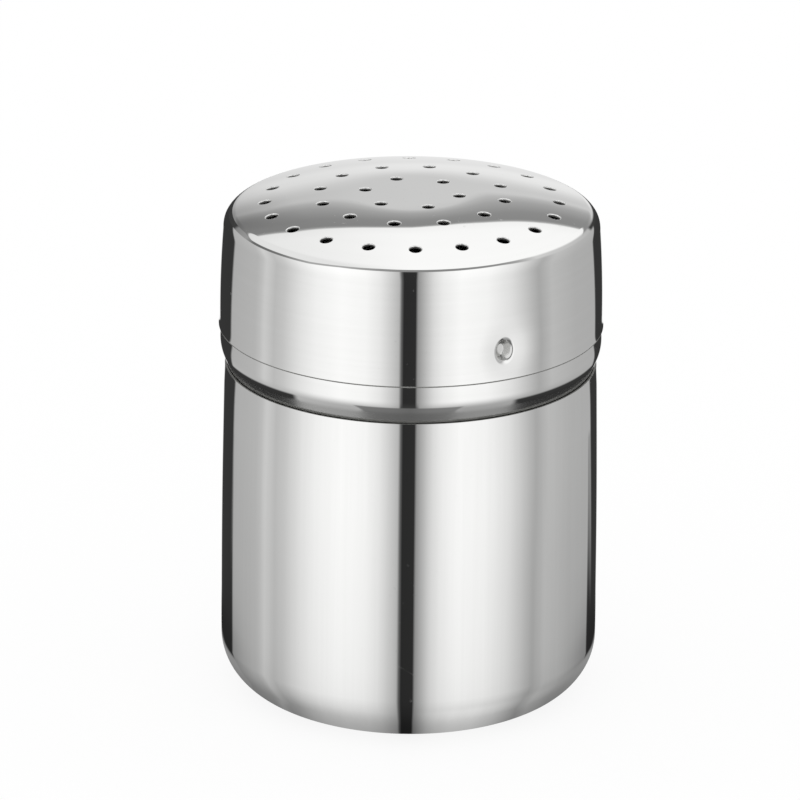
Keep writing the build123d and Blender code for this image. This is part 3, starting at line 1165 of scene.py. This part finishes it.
# %% Floor card
card_inner, card_outer, card_up = 24.0, 200.0, 0.05
card_radii, card_turns = np.meshgrid([card_inner, card_outer], full_turn(0.0), indexing="ij")
card_height = np.full_like(card_radii, card_up)
card_places = np.stack([
    card_radii * np.sin(card_turns), -card_radii * np.cos(card_turns), card_height
], -1)
card_mesh = bpy.data.meshes.new("floor_card")
card_mesh.from_pydata((card_places.reshape(-1, 3) * MM).tolist(), [], grid_faces(2, columns).tolist())
card = show("floor_card", card_mesh)
card.visible_camera = card.visible_diffuse = card.visible_shadow = card.visible_transmission = False
card_material, tree = new_material("floor_card")
tree.nodes.remove(tree.nodes["Principled BSDF"])
place = object_place(tree)
radius = axis_distance(tree)
polar = maths(tree, "ARCTAN2", place["X"], times(tree, place["Y"], -1.0))
ratio = maths(tree, "MINIMUM", maths(tree, "DIVIDE", body_radius, radius), 1.0)
first_guess, widening = 1.6, 1.026
card_side = times(tree, polar, first_guess)
for _ in range(4):
    half_sine = maths(tree, "SINE", times(tree, card_side, 0.5))
    card_side = maths(tree, "ADD", polar, maths(tree, "ARCSINE", times(tree, ratio, half_sine)))
card_side = times(tree, card_side, DEGREES)
half_way = maths(tree, "SUBTRACT", polar, times(tree, card_side, 0.5 / DEGREES))
card_side = maths(tree, "MAXIMUM", times(tree, card_side, widening), card_side)
close_tones = [(at, 180 if abs(at) > 138 else tone) for at, tone in wall_tones]
close_in, far_out = (tone_ramp(tree, card_side, tones) for tones in (close_tones, wall_tones))
shown = mix(tree, rise(tree, radius, 42, 46), close_in, far_out)
dimming = number_ramp(tree, radius, [
    (24, 0.29), (28, 0.34), (30, 0.375), (33, 0.435), (35, 0.49), (37, 0.565), (40, 0.68), (43, 0.745),
    (48, 0.81), (60, 0.89), (70, 0.92), (94, 0.95), (120, 0.965), (160, 0.975), (200, 0.99),
])
to_side = rise(tree, maths(tree, "ABSOLUTE", card_side), 105, 145)
to_side = times(tree, to_side, number_ramp(tree, radius, [
    (24, 0.0), (33, -0.02), (38, -0.14), (44, -0.34), (52, -0.30), (60, -0.18), (75, -0.07), (95, -0.02),
]))
to_right = times(tree, rise(tree, card_side, -25, 50), rise(tree, card_side, 140, 90))
to_right = times(tree, to_right, rise(tree, radius, 36, 44, 0.28, 0.0))
dimming = times(tree, dimming, maths(tree, "ADD", maths(tree, "ADD", to_side, 1.0), to_right))
glow = tree.nodes.new("ShaderNodeEmission")
tree.links.new(scaled(tree, shown, dimming), glow.inputs["Color"])

# Height of whatever sees this place: the ray's length and its run along the floor give it.
run = times(tree, maths(tree, "COSINE", half_way), -2 * body_radius)
run = times(tree, maths(tree, "ADD", run, radius), radius)
ray = times(tree, tree.nodes.new("ShaderNodeLightPath").outputs["Ray Length"], 1 / MM)
run = maths(tree, "ADD", run, body_radius**2)
height_squared = maths(tree, "SUBTRACT", times(tree, ray, ray), run)
see_below, clear_above = 50.0, 56.0
fade_from, fade_to = 100, 190
back_from, back_to = 2.0, 2.5  # in radians from the front
higher_up = rise(tree, height_squared, see_below**2, clear_above**2)
clear = maths(tree, "MAXIMUM", higher_up, rise(tree, radius, fade_from, fade_to))
at_back = rise(tree, maths(tree, "ABSOLUTE", polar), back_from, back_to)
at_back = times(tree, at_back, rise(tree, radius, 45, 60))
nothing = tree.nodes.new("ShaderNodeBsdfTransparent").outputs[0]
show_mix(tree, maths(tree, "MAXIMUM", clear, at_back), glow.outputs[0], nothing)
card_mesh.materials.append(card_material)
print("floor card has", len(card_mesh.polygons), "faces")

# %% [markdown]
# ## View transform
#
# The view transform is the plain one, so that white stays white.

# %% View transform
scene.view_settings.view_transform = "Standard"
